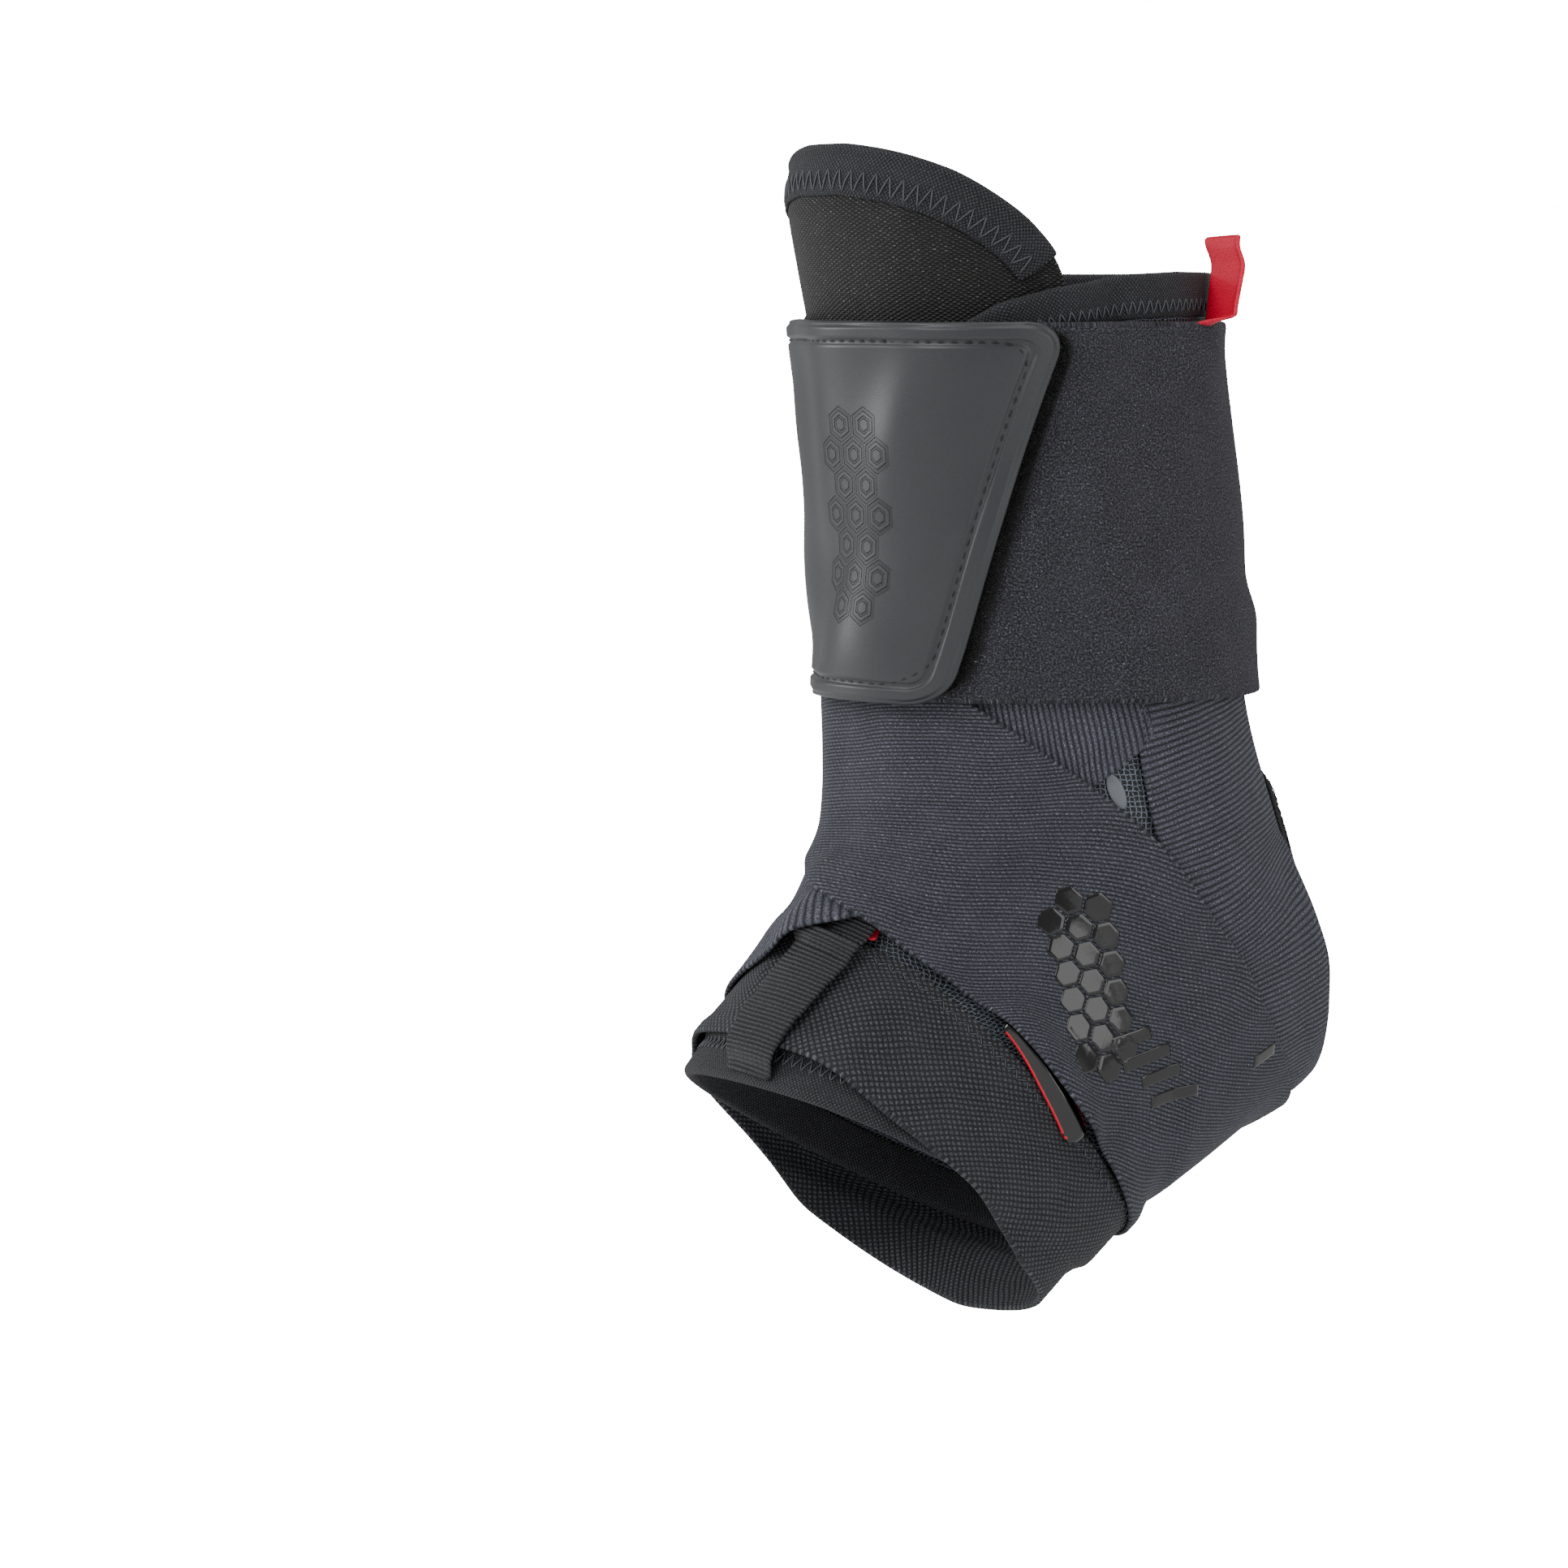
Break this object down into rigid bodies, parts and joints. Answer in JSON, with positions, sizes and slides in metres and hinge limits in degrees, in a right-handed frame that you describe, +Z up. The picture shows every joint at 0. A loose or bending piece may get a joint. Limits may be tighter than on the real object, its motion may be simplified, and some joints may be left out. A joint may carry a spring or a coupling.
{
  "type": "ankle brace",
  "caption": "Lace-free ankle brace for the left side: open-heel mesh boot, padded tongue, crossing heel-lock straps, and a soft cuff with a rubber closure panel.",
  "frame": {"origin": "middle of the ankle inside the brace, between the two ankle bones", "axes": "+Z up the shaft, -Y towards the open front end of the boot, +X to the outer side"},
  "size_m": [0.0864, 0.1356, 0.2276],
  "materials": {
    "padded_mesh": "padded black mesh with small dimples",
    "knit_binding": "fine elastic knit tape, zigzag stitched",
    "boot_mesh": "open mesh cloth with a slight glitter",
    "heel_edge": "black folded tape",
    "elastic": "coarse woven elastic",
    "strap_twill": "fine diagonal ribbed stretch cloth",
    "loop_cloth": "brushed loop cloth, fine speckle",
    "hook_fuzz": "hook tape with fuzz",
    "webbing": "ribbed grosgrain webbing",
    "strap_end": "glossy rubberised tab",
    "label": "glossy folded label with red edges",
    "panel_rubber": "satin grey rubber, debossed",
    "red_tab": "smooth red tape"
  },
  "bodies": {
    "root": {"tongue": "padded_mesh", "tongue_binding": "knit_binding", "boot_body": "boot_mesh", "top_hem_binding": "knit_binding", "heel_binding": "heel_edge", "front_hem_binding": "knit_binding", "midfoot_band": "elastic", "red_ribbon": "red_tab", "webbing_keeper": "webbing", "pull_tab_webbing": "webbing", "side_label": "label", "strap_inner": "strap_twill", "strap_outer": "strap_twill", "end_tab_lateral": "strap_end", "end_tab_medial": "strap_end", "back_tab": "red_tab", "cuff": "loop_cloth", "hook_tape": "hook_fuzz", "closure_panel": "panel_rubber"}
  },
  "joints": []
}
